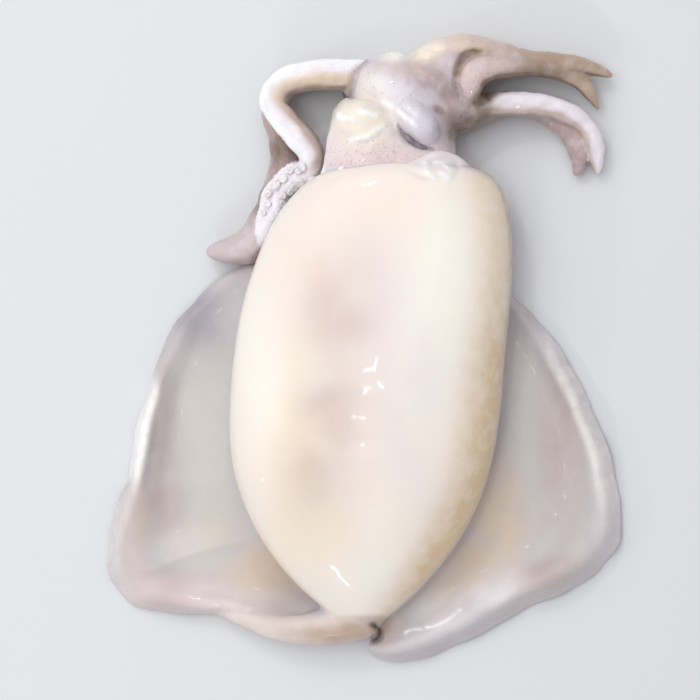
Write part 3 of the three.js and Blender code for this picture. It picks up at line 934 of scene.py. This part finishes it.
# The brown arms, with painted shade on the shaded sides of the loop and the pale arm and under the cone.
store(head, "brown_and_shade", (
    browns * blend(0.45, 1, soft_step(40, 58, seen[:, 0]))
    + 0.6 * loop * inner_side * after_bend * (1 - rolled)
    + 0.55 * on("pale_right") * soft_step(0.05, 0.4, side) + patches(seen, (0.6, 39, 96, 5, 3))))
# Painted shade in dark umber under the arms, in the gaps beside the head and under the cone, with the pigment
# of the brown arms' backs.
store(head, "umber_and_shade", (
    0.5 * loop * soft_step(-0.72, -0.97, side) * (1 - rolled) + browns * under_side
    + 0.5 * on("pale_right") * under_side + (1 - loop) * patches(
        seen, (0.95, 31, 88.6, 7, 5.8, 20), (0.85, 38, 97.4, 5.5, 3, 30), (0.55, 36, 92.4, 6, 3.6, 12),
        (1, -29.8, 82.5, 4.6, 7), (0.15, 57, 107.6, 11, 5), (0.7, -38, 67, 2.6, 8, 10))
    + 0.5 * near_lines(seen, [ARM_UNDERSIDE], 2.6)))
store(head, "lilac", on_head * patches(
    seen, (1, 9, 99, 14, 8, -20), (1, 17, 91, 8, 6, -46), (0.5, 22, 82, 6, 4)))
store(head, "violet", (
    patches(seen, (1, 17.5, 89.5, 7, 4, -40)) * soft_step(17, 21, z) + 0.25 * lower_left
    + patches(seen, (0.6, 52, 98.6, 16, 1.8, -3))))
store(head, "rose", (1 - 0.5 * on_funnel) * patches(
    seen, (1, 2, 79, 14, 5), (0.7, 20, 78, 10, 4), (0.4, -10, 88, 5, 7), (0.5, -6, 83.5, 8, 3)))
print("head's skin painted")

# %% Paint the small marks of the head, with painted glints and painted shade in its gaps and creases
HEAD_PATCHES = {
    # The cream patches are partly the skin's tone and partly painted light on the crown and the loop's top.
    "cream_and_light": [(0.6, 20, 114, 6, 2.6, 20), (1, 8, 114.4, 6, 3.8), (0.3, 0, 104, 6, 6, -20),
              (0.3, -26, 108, 6, 3)],
    "blush": [(1, 33, 103.5, 4.2, 7, 6), (0.8, 42, 108.4, 9, 3.4, 4), (0.6, 38, 116.6, 9, 2.2, -12)],
    "freckle": [(1, 2, 79.5, 9, 5), (0.5, -6, 78, 9, 4), (0.25, 33, 102, 4, 6)],
}
for name, strokes in HEAD_PATCHES.items():
    store(head, name, patches(seen, *strokes))
store(head, "speckle", np.maximum(0.3 * browns, patches(
    seen, (1, 0, 79, 16, 5.5), (0.6, -3, 106, 6, 7), (0.6, 18, 104, 10, 6), (0.8, 33, 102, 4, 6),
    (0.3, 10, 98, 10, 8))))
store(head, "lemon", on_funnel)
# Painted glints: white streaks along the eye's ridge and the funnel's small ridges.
glint_lines = near_lines(seen, [EYE_RIDGE], 0.75) + near_lines(seen, FUNNEL_GLINT_STREAKS, 1.0)
store(head, "painted_glint", np.minimum(glint_lines, 1) * soft_step(16, 19, z))
# Painted shade in the pocket between two arms.
store(head, "pocket_shade", 0.85 * near_lines(seen, [ARM_POCKET], 1.3))
# A dark spot beside the eye, and painted shade along the creases of the arms and along the head's edge.
store(head, "dark_spot_and_crease_shade", (
    0.6 * patches(seen, (1, 22.8, 94, 2.6, 1.4, -30)) + 0.45 * near_lines(seen, [ARM_FOLD], 0.9)
    + 0.35 * near_lines(seen, [HEAD_EDGE], 1.0) + 0.1 * near_lines(seen, [ARM_PARTING], 0.9)))
# The dark eye showing in the slit, with painted shade in the groove round it.
slit_gap, slit_share = distance_to_line(seen, EYE_SLIT)
slit_width = 0.3 + 0.8 * np.sin(np.pi * slit_share) ** 0.8
store(head, "slit_eye_and_shade", 0.9 * np.exp(-((slit_gap / slit_width) ** 2)) * soft_step(14, 18, z))
print("head masks:", len([a for a in head.data.attributes if a.data_type == "FLOAT"]))

# %% [markdown]
# The suckers
#
# Two rows of suckers run along the mouth side of every arm. On the real animal each is a small cup on a
# short stalk with a raised ring. One cup is spun from a half section of a few points, then copied to each
# place, so a cup has only a few dozen faces. The arm on the left has rolled over and shows its rows from
# above. On the other arms the rows face down or inwards.

# %% Spin one sucker
SUCKER_SECTION = [
    (0.7, -0.6), (0.86, 0.0), (1.0, 0.2), (0.98, 0.44), (0.78, 0.62), (0.46, 0.6), (0.2, 0.5), (0, 0.48),
]
SUCKER_STEPS = 14


def sucker_form():
    """A cup of radius 1 that opens along +Z."""
    bm = bmesh.new()
    verts = [bm.verts.new((r, 0, h)) for r, h in SUCKER_SECTION]
    edges = [bm.edges.new(pair) for pair in zip(verts, verts[1:])]
    bmesh.ops.spin(
        bm, geom=verts + edges, cent=(0, 0, 0), axis=(0, 0, 1), angle=math.tau,
        steps=SUCKER_STEPS, use_merge=True, use_duplicate=False,
    )
    bmesh.ops.remove_doubles(bm, verts=bm.verts, dist=1e-4)
    bmesh.ops.holes_fill(bm, edges=[e for e in bm.edges if e.is_boundary], sides=0)
    bmesh.ops.recalc_face_normals(bm, faces=bm.faces)
    return bm


sucker = sucker_form()
print("faces in one sucker:", len(sucker.faces))

# %% Set the suckers along the arms
FACING_DOWN = dict(angles=(270, 270), spread=24)
SUCKER_ROWS = {
    "looped_left": dict(first=0.64, last=0.98, size=1.7, angles=(104, 96), spread=33),
    "lower_left": dict(first=0.52, last=0.84, size=1.3, angles=(200, 170), spread=26),
    "short_left": dict(first=0.3, last=0.9, size=0.8, **FACING_DOWN),
    "upper_right": dict(first=0.35, last=0.92, size=1.0, **FACING_DOWN),
    "folded_right": dict(first=0.36, last=0.92, size=1.0, **FACING_DOWN),
    "pale_right": dict(first=0.3, last=0.92, size=1.05, **FACING_DOWN),
    "lower_right": dict(first=0.35, last=0.9, size=0.9, **FACING_DOWN),
    "beneath_right": dict(first=0.4, last=0.9, size=0.85, **FACING_DOWN),
}
SUCKER_GAP = 1.65
SUCKER_SEAT = 0.97
SUCKER_WOBBLE = 9
SUCKER_UNEVENNESS = 0.14
SUCKER_THINNING = 0.25
SUCKER_FIT = 0.95


def sucker_places(spec, rows, number):
    """Where the cups sit, which way they open, and their radius."""
    line = smooth_line(spec["route"])
    fine = np.linspace(rows["first"], rows["last"], 400)
    places, _ = line(fine)
    run = np.concatenate([[0], np.cumsum(np.linalg.norm(np.diff(places, axis=0), axis=1))])
    count = int(run[-1] / (rows["size"] * SUCKER_GAP))
    for k in range(count):
        for row, sign in enumerate((-1, 1)):
            where = (k + row / 2 + 0.2) / count
            t = np.array([np.interp(where * run[-1], run, fine)])
            wobble = SUCKER_WOBBLE * math.sin(k * 2.3 + number + row * 1.9)
            around = np.radians([blend(*rows["angles"], where) + sign * rows["spread"] + wobble])
            radius = arm_radius(spec, t)
            seat_radius = radius * SUCKER_SEAT
            seat = swept(line, t, around, seat_radius, seat_radius * (1 - ARM_SQUEEZE))[0]
            out = seat - line(t)[0][0]
            uneven = 1 + SUCKER_UNEVENNESS * math.sin(k * 5.1 + row * 2.7 + number)
            fitting = min(1, radius[0] / spec["end"] * SUCKER_FIT)
            size = rows["size"] * fitting * (1 - SUCKER_THINNING * where) * uneven
            yield Vector(seat), Vector(out).normalized(), size


def add_suckers():
    """One object with a copy of the cup at each place, except where the arm rests on the slab."""
    cups = bmesh.new()
    cup = bpy.data.meshes.new("cup")
    sucker.to_mesh(cup)
    sucker.free()
    for number, (name, rows) in enumerate(SUCKER_ROWS.items()):
        for seat, out, size in sucker_places(ARMS[name], rows, number):
            if seat.z - size < 0.4 and out.z < -0.3:
                continue
            old = set(cups.verts)
            cups.from_mesh(cup)
            fresh = [v for v in cups.verts if v not in old]
            turned = out.to_track_quat("Z", "Y").to_matrix().to_4x4()
            matrix = Matrix.Translation(seat * MM) @ turned @ Matrix.Scale(size * MM, 4)
            bmesh.ops.transform(cups, matrix=matrix, verts=fresh)
    bpy.data.meshes.remove(cup)
    return as_piece("suckers", cups)


suckers = add_suckers()
print("sucker faces:", len(suckers.data.polygons))

# %% [markdown]
# The eyes
#
# On the right a dark crescent of the eye shows in the slit under the lid. It is a small swelling laid along
# the slit, just under the level that the skin had before the slit was pressed in. The other eye looks out
# on the far side, low above the slab, where the bulge is.

# %% Set the eyes
RIGHT_EYE = dict(route=eye_line, widths=[0.5, 1, 1.4, 1.5, 1.1, 0.5], heights=[0.5, 0.9, 1.2, 1.2, 0.9, 0.4])
LEFT_EYE = dict(centre=(-6.4, 100.5, 8.5), half=(2.6, 4.2, 3.2), turn=12)

eyes = joined("eyes", [swelling_form(RIGHT_EYE, 24, 32), ball_form(**LEFT_EYE)])
pieces = (mantle, head, suckers, eyes)
for piece in pieces:
    piece.data.polygons.foreach_set("use_smooth", [True] * len(piece.data.polygons))
    piece.data.update()
print("eye faces:", len(eyes.data.polygons))

# %% [markdown]
# Wet flesh
#
# Light goes into squid flesh and comes out a few millimetres away, which is what subsurface scattering
# does. Over it lies a film of water: the coat, with the refraction of water and almost no roughness. The
# film has its own small waves, so lamps show in it as broken glints. Tints are mixed by the masks, and a
# noise breaks each mask so that no patch has an even edge.

# %% Helpers for the materials


def colour(code):
    """A linear colour from the six digits that a paint program shows."""
    parts = [int(code[i : i + 2], 16) / 255 for i in (0, 2, 4)]
    return [c / 12.92 if c <= 0.04045 else ((c + 0.055) / 1.055) ** 2.4 for c in parts] + [1]


class Flesh:
    """A wet flesh material that is built up tint by tint."""

    def __init__(self, name, base):
        self.material = bpy.data.materials.new(name)
        self.material.use_nodes = True
        self.nodes = self.material.node_tree.nodes
        self.shader = self.nodes["Principled BSDF"]
        self.place = self.nodes.new("ShaderNodeTexCoord").outputs["Object"]
        start = self.nodes.new("ShaderNodeRGB")
        start.outputs[0].default_value = colour(base)
        self.tinted = start.outputs[0]

    def put(self, socket, value):
        """Sets a socket, or links it where the value is another node's output."""
        if isinstance(value, bpy.types.NodeSocket):
            self.material.node_tree.links.new(value, socket)
        else:
            socket.default_value = value

    def node(self, kind, **values):
        node = self.nodes.new("ShaderNode" + kind)
        for name, value in values.items():
            self.put(node.inputs[name.replace("_", " ")], value)
        return node

    def noise(self, size, detail=3, roughness=0.5):
        """A noise between 0 and 1 with features of that size in millimetres."""
        scale = 1 / (size * MM)
        node = self.node("TexNoise", Scale=scale, Detail=detail, Roughness=roughness, Vector=self.place)
        return node.outputs["Fac"]

    def combine(self, kind, a, b):
        """A sum, a product or a comparison of two numbers or masks."""
        node = self.nodes.new("ShaderNodeMath")
        node.operation = kind
        self.put(node.inputs[0], a)
        self.put(node.inputs[1], b)
        return node.outputs[0]

    def span(self, value, low, high, out_low=0.0, out_high=1.0):
        """A soft step from low to high."""
        node = self.node(
            "MapRange", Value=value, From_Min=low, From_Max=high, To_Min=out_low, To_Max=out_high)
        node.interpolation_type = "SMOOTHSTEP"
        return node.outputs["Result"]

    def mask(self, name, broken=0.0, size=6):
        """A painted mask, its edges broken by a noise."""
        node = self.nodes.new("ShaderNodeAttribute")
        node.attribute_name = name
        if not broken:
            return node.outputs["Fac"]
        swing = self.span(self.noise(size, 4, 0.6), 0.3, 0.7, 1 - broken, 1 + broken)
        return self.combine("MULTIPLY", node.outputs["Fac"], swing)

    def tint(self, code, amount):
        """Mixes a colour in by an amount, a number or a mask."""
        node = self.nodes.new("ShaderNodeMix")
        node.data_type = "RGBA"
        node.clamp_factor = True
        for index, value in ((0, amount), (6, self.tinted), (7, colour(code))):
            self.put(node.inputs[index], value)
        self.tinted = node.outputs[2]

    def tints(self, *rows):
        """Tints by masks, one after the other: (colour, mask, how broken, size of the breaks, strength)."""
        for code, name, broken, size, *strength in rows:
            amount = self.mask(name, broken, size)
            self.tint(code, self.combine("MULTIPLY", amount, strength[0]) if strength else amount)

    def dots(self, code, spacing, size, amount, strength=0.8):
        """Round pigment cells of about that radius, chosen more often where the amount is high."""
        cells = self.node("TexVoronoi", Scale=1 / (spacing * MM), Randomness=1, Vector=self.place)
        parts = self.node("SeparateColor", Color=cells.outputs["Color"])
        reach = self.span(parts.outputs[0], 0, 1, 0.5 * size / spacing, 1.3 * size / spacing)
        spot = self.span(self.combine("SUBTRACT", reach, cells.outputs["Distance"]), -0.08, 0.1)
        chosen = self.combine("LESS_THAN", parts.outputs[1], amount)
        self.tint(code, self.combine("MULTIPLY", self.combine("MULTIPLY", spot, chosen), strength))

    def bump(self, layers, socket="Normal", detail=3):
        """Fine relief from (size, height) layers in millimetres."""
        total, *others = [
            self.combine("MULTIPLY", self.noise(size, detail, 0.55), height) for size, height in layers]
        for other in others:
            total = self.combine("ADD", total, other)
        self.put(self.shader.inputs[socket], self.node("Bump", Distance=MM, Height=total).outputs["Normal"])

    def finish(self, **sockets):
        """Sets the shader's own sockets, or links one that changes over the skin."""
        for name, value in {"Base_Color": self.tinted, **sockets}.items():
            self.put(self.shader.inputs[name.replace("_", " ")], value)
        return self.material


WET = dict(
    Roughness=0.42, IOR=1.4, Coat_Weight=0.9, Coat_Roughness=0.06, Coat_IOR=1.33,
    Subsurface_Weight=0.35, Subsurface_Scale=3.0 * MM, Subsurface_Radius=(1.0, 0.75, 0.6),
)

# %% Finish the mantle and the fins
mantle_flesh = Flesh("mantle_flesh", "F4EADF")
mantle_flesh.tint("F1E9E2", mantle_flesh.span(mantle_flesh.noise(24, 2), 0.35, 0.65))
# Of these tints, the shade and umber tints, the taupe inside the crests and the line in the rim's groove are
# painted shade; the belly's light patches, the crests' light, part of the rims' light and the white streaks
# are painted light and painted glints.
mantle_flesh.tints(
    ("E9DEDC", "cool", 0.15, 12), ("EFE0CA", "butter", 0.2, 12), ("F4E4D7", "peach", 0.25, 12),
    ("DCC9BC", "beige", 0.12, 12), ("C8B2A8", "tan_spots", 0.25, 10), ("FDF5EA", "painted_belly_light", 0.15, 12),
    ("DEC4A1", "shade", 0.25, 5), ("C6BEC0", "fin", 0.1, 8), ("CEC9C2", "grey", 0.2, 7),
    ("BEB0AD", "taupe_and_shade", 0.25, 6), ("A49EA8", "violet", 0.2, 7), ("D4C4B2", "sand", 0.25, 6),
    ("B09C88", "umber_and_shade", 0.25, 6), ("D2BFBE", "pink", 0.25, 5), ("DDD0CA", "lip", 0.2, 6),
    ("B8A08C", "lip_tan", 0.2, 6), ("F2EBED", "painted_crest_light", 0.2, 6), ("F8F2F0", "rim_pale_and_lit", 0.25, 4),
    ("EADFE2", "collar", 0.3, 5), ("8E7C7C", "rim_groove_shade", 0.4, 4, 0.22), ("8C7468", "darker_steep_right_side", 0.4, 3, 0.8),
    ("FFFFFF", "painted_glint", 0.6, 2.5, 0.8), ("5A5254", "nick", 0, 0), ("BFAEB2", "back", 0.25, 6, 0.8),
)
mantle_flesh.dots("8B6F74", 2.2, 0.5, mantle_flesh.combine("MULTIPLY", mantle_flesh.mask("back"), 0.6))
mantle_flesh.bump([(2.2, 0.05), (0.7, 0.02)])
mantle_flesh.bump([(8.5, 0.3), (3.5, 0.08)], "Coat Normal", detail=0)
film = mantle_flesh.combine("MULTIPLY", mantle_flesh.mask("film"), WET["Coat_Weight"])
mantle.data.materials.append(mantle_flesh.finish(**{**WET, "Coat_Weight": film}))
print("nodes in the mantle's material:", len(mantle_flesh.nodes))

# %% Finish the head and the arms
head_flesh = Flesh("head_flesh", "DCD1D6")
head_flesh.tint("D0C2C6", head_flesh.span(head_flesh.noise(7, 4, 0.6), 0.35, 0.65))
# The ochre, brown and pale tints are partly the skin's own colour and partly painted shade and painted light
# on the arms' sides; the cream is partly painted light.
head_flesh.tints(
    ("DED6DF", "lilac", 0.25, 4), ("DAD4E2", "violet", 0.25, 4), ("B49D9C", "mauve", 0.35, 4),
    ("DBC6B1", "ochre_and_shade", 0.3, 4), ("B89F8B", "brown_and_shade", 0.3, 4), ("D8C3BF", "blush", 0.3, 3),
    ("FFF8EC", "cream_and_light", 0.2, 4), ("F3EDF2", "pale_and_lit", 0.2, 4), ("EFE6D5", "lemon", 0.2, 4),
    ("ECD6D4", "rose", 0.3, 4),
)
head_flesh.dots("A28792", 1.0, 0.34, head_flesh.mask("speckle"), 0.22)
head_flesh.dots("B0705C", 0.9, 0.2, head_flesh.mask("freckle"), 0.48)
# The umber, pocket and dark tints are painted shade in gaps and creases, with some pigment and a dark spot;
# the slit tint is the dark eye with painted shade round it; the two white tints are painted light and painted
# glints.
head_flesh.tints(
    ("7E6A5C", "umber_and_shade", 0.2, 5), ("9A8464", "pocket_shade", 0.2, 3), ("75625C", "dark_spot_and_crease_shade", 0.2, 3),
    ("7E7078", "slit_eye_and_shade", 0, 0), ("FFFFFF", "painted_top_light", 0.2, 4), ("FFFFFF", "painted_glint", 0.5, 2.5, 0.8),
)
head_flesh.bump([(4, 0.4), (1.2, 0.14), (0.5, 0.04)])
head_flesh.bump([(7, 0.4), (3, 0.05)], "Coat Normal", detail=0)
head.data.materials.append(head_flesh.finish(**WET))
print("nodes in the head's material:", len(head_flesh.nodes))

# %% Finish the suckers and the eyes
sucker_flesh = Flesh("sucker_flesh", "F2EBEC")
sucker_flesh.tint("DCCFD2", sucker_flesh.span(sucker_flesh.noise(1.4, 2), 0.4, 0.65))
sucker_flesh.bump([(0.8, 0.1)])
suckers.data.materials.append(sucker_flesh.finish(**WET))

eye_flesh = Flesh("eye_dark", "74686E")
eye_flesh.tint("8E828A", eye_flesh.span(eye_flesh.noise(2.5, 2), 0.4, 0.7))
eyes.data.materials.append(eye_flesh.finish(
    Roughness=0.25, Coat_Weight=1.0, Coat_Roughness=0.04, Coat_IOR=1.34))
print("materials:", [m.name for m in bpy.data.materials])

# %% [markdown]
# Joining the frame
#
# All pieces ride on the frame's one body, and the frame's own solid is hidden, so it stays in the model for
# weight and contact while these skins are what shows.

# %% Ride on the frame
for piece in pieces:
    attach(piece, "root")
    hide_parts("squid")

# %% [markdown]
# Floor and light
#
# A pale floor and a pale sky give the even, bright surroundings of the picture. A wide lamp from the upper
# left shapes the forms softly. Small strong lamps add little light, but their reflections are the glints on
# the wet film. More glints are painted white into the skin along small ridges at the collar, the right fin,
# the eye and the funnel.

# %% Lay the floor
FLOOR_HALF_SIZE = 3
FLOOR_DROP = 0.2

floor_form = bmesh.new()
bmesh.ops.create_grid(floor_form, x_segments=1, y_segments=1, size=FLOOR_HALF_SIZE)
floor = as_piece("floor", floor_form)
floor.location.z = -FLOOR_DROP * MM
floor_paint = bpy.data.materials.new("floor")
floor_paint.use_nodes = True
floor_shader = floor_paint.node_tree.nodes["Principled BSDF"]
floor_shader.inputs["Base Color"].default_value = colour("DCDDDE")
floor_shader.inputs["Roughness"].default_value = 0.7
floor.data.materials.append(floor_paint)
print("floor laid", FLOOR_DROP, "mm under the slab's level")

# %% Light the scene
world = bpy.data.worlds.new("sky")
bpy.context.scene.world = world
world.use_nodes = True
sky = world.node_tree.nodes["Background"]
sky.inputs["Color"].default_value = colour("F4F6FA")
sky.inputs["Strength"].default_value = 0.6
bpy.context.scene.view_settings.view_transform = "Standard"
bpy.context.scene.view_settings.look = "None"


def lamp(name, place, size, watts, width=None, along=(1, 0, 0)):
    """A flat lamp, placed in metres, that faces the squid; with a width it is a strip along a direction."""
    light = bpy.data.lights.new(name, "AREA")
    light.shape = "RECTANGLE" if width else "SQUARE"
    light.size, light.size_y = size, width or size
    light.energy = watts
    holder = bpy.data.objects.new(name, light)
    holder.location = Vector(place)
    back = (holder.location - aim).normalized()
    upward = back.cross(Vector(along)).normalized()
    holder.rotation_mode = "QUATERNION"
    holder.rotation_quaternion = Matrix((upward.cross(back), upward, back)).transposed().to_quaternion()
    bpy.context.scene.collection.objects.link(holder)


lamp("key", (-0.22, 0.4, 0.86), size=1.2, watts=5.15)
lamp("glint_above", (-0.089, -0.009, 0.6), size=0.026, watts=0.13, width=0.012, along=(0.6, 0.8, 0))
lamp("glint_tail", (-0.16, -0.55, 0.36), size=0.14, watts=0.5, width=0.014, along=(0.55, -0.8, 0))
lamp("glint_head", (-0.16, 0.42, 0.5), size=0.06, watts=0.3, width=0.016, along=(0.9, 0.35, 0))
lamp("glint_side", (-0.5, -0.2, 0.34), size=0.03, watts=0.25)
